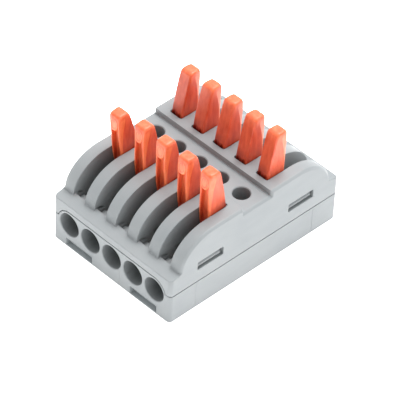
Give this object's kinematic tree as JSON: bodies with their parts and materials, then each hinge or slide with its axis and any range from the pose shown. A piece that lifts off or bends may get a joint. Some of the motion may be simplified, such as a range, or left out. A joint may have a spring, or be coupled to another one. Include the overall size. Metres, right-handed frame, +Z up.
{
  "type": "lever wire connector",
  "caption": "In-line wire splice block: grey housing, round wire entries at each end, orange levers that open spring clamps, test holes between.",
  "frame": {"origin": "middle of the underside", "axes": "+X across the poles, +Y along the wires, +Z up, the way the open levers point"},
  "size_m": [0.0276, 0.038, 0.0235],
  "materials": {
    "housing": "light cool grey moulded polycarbonate, satin",
    "lever": "orange moulded polyamide, slightly translucent",
    "bar": "tin plate on copper",
    "spring": "bright spring steel strip"
  },
  "bodies": {
    "housing": {"cover": "housing", "base": "housing", "current_bar_1": "bar", "current_bar_2": "bar", "current_bar_3": "bar", "current_bar_4": "bar", "current_bar_5": "bar", "front_spring_1": "spring", "front_spring_2": "spring", "front_spring_3": "spring", "front_spring_4": "spring", "front_spring_5": "spring", "rear_spring_1": "spring", "rear_spring_2": "spring", "rear_spring_3": "spring", "rear_spring_4": "spring", "rear_spring_5": "spring"},
    "front_lever_1_body": {"front_lever_1": "lever"},
    "front_lever_2_body": {"front_lever_2": "lever"},
    "front_lever_3_body": {"front_lever_3": "lever"},
    "front_lever_4_body": {"front_lever_4": "lever"},
    "front_lever_5_body": {"front_lever_5": "lever"},
    "rear_lever_1_body": {"rear_lever_1": "lever"},
    "rear_lever_2_body": {"rear_lever_2": "lever"},
    "rear_lever_3_body": {"rear_lever_3": "lever"},
    "rear_lever_4_body": {"rear_lever_4": "lever"},
    "rear_lever_5_body": {"rear_lever_5": "lever"}
  },
  "joints": [
    {"name": "front_lever_1_hinge", "type": "hinge", "parent": "housing", "child": "front_lever_1_body", "pos_m": [-0.01, -0.0056, 0.0119], "axis": [1, 0, 0], "range_deg": [-5.5, 82], "deforming": ["front_spring_1"]},
    {"name": "front_lever_2_hinge", "type": "hinge", "parent": "housing", "child": "front_lever_2_body", "pos_m": [-0.005, -0.0056, 0.0119], "axis": [1, 0, 0], "range_deg": [-1, 86.5], "deforming": ["front_spring_2"]},
    {"name": "front_lever_3_hinge", "type": "hinge", "parent": "housing", "child": "front_lever_3_body", "pos_m": [0, -0.0056, 0.0119], "axis": [1, 0, 0], "range_deg": [-1, 86.5], "deforming": ["front_spring_3"]},
    {"name": "front_lever_4_hinge", "type": "hinge", "parent": "housing", "child": "front_lever_4_body", "pos_m": [0.005, -0.0056, 0.0119], "axis": [1, 0, 0], "range_deg": [-1, 86.5], "deforming": ["front_spring_4"]},
    {"name": "front_lever_5_hinge", "type": "hinge", "parent": "housing", "child": "front_lever_5_body", "pos_m": [0.01, -0.0056, 0.0119], "axis": [1, 0, 0], "range_deg": [0, 87.5], "deforming": ["front_spring_5"]},
    {"name": "rear_lever_1_hinge", "type": "hinge", "parent": "housing", "child": "rear_lever_1_body", "pos_m": [-0.01, 0.0056, 0.0119], "axis": [-1, 0, 0], "range_deg": [-1, 86.5], "deforming": ["rear_spring_1"]},
    {"name": "rear_lever_2_hinge", "type": "hinge", "parent": "housing", "child": "rear_lever_2_body", "pos_m": [-0.005, 0.0056, 0.0119], "axis": [-1, 0, 0], "range_deg": [-1, 86.5], "deforming": ["rear_spring_2"]},
    {"name": "rear_lever_3_hinge", "type": "hinge", "parent": "housing", "child": "rear_lever_3_body", "pos_m": [0, 0.0056, 0.0119], "axis": [-1, 0, 0], "range_deg": [-1, 86.5], "deforming": ["rear_spring_3"]},
    {"name": "rear_lever_4_hinge", "type": "hinge", "parent": "housing", "child": "rear_lever_4_body", "pos_m": [0.005, 0.0056, 0.0119], "axis": [-1, 0, 0], "range_deg": [-1, 86.5], "deforming": ["rear_spring_4"]},
    {"name": "rear_lever_5_hinge", "type": "hinge", "parent": "housing", "child": "rear_lever_5_body", "pos_m": [0.01, 0.0056, 0.0119], "axis": [-1, 0, 0], "range_deg": [-1, 86.5], "deforming": ["rear_spring_5"]}
  ]
}
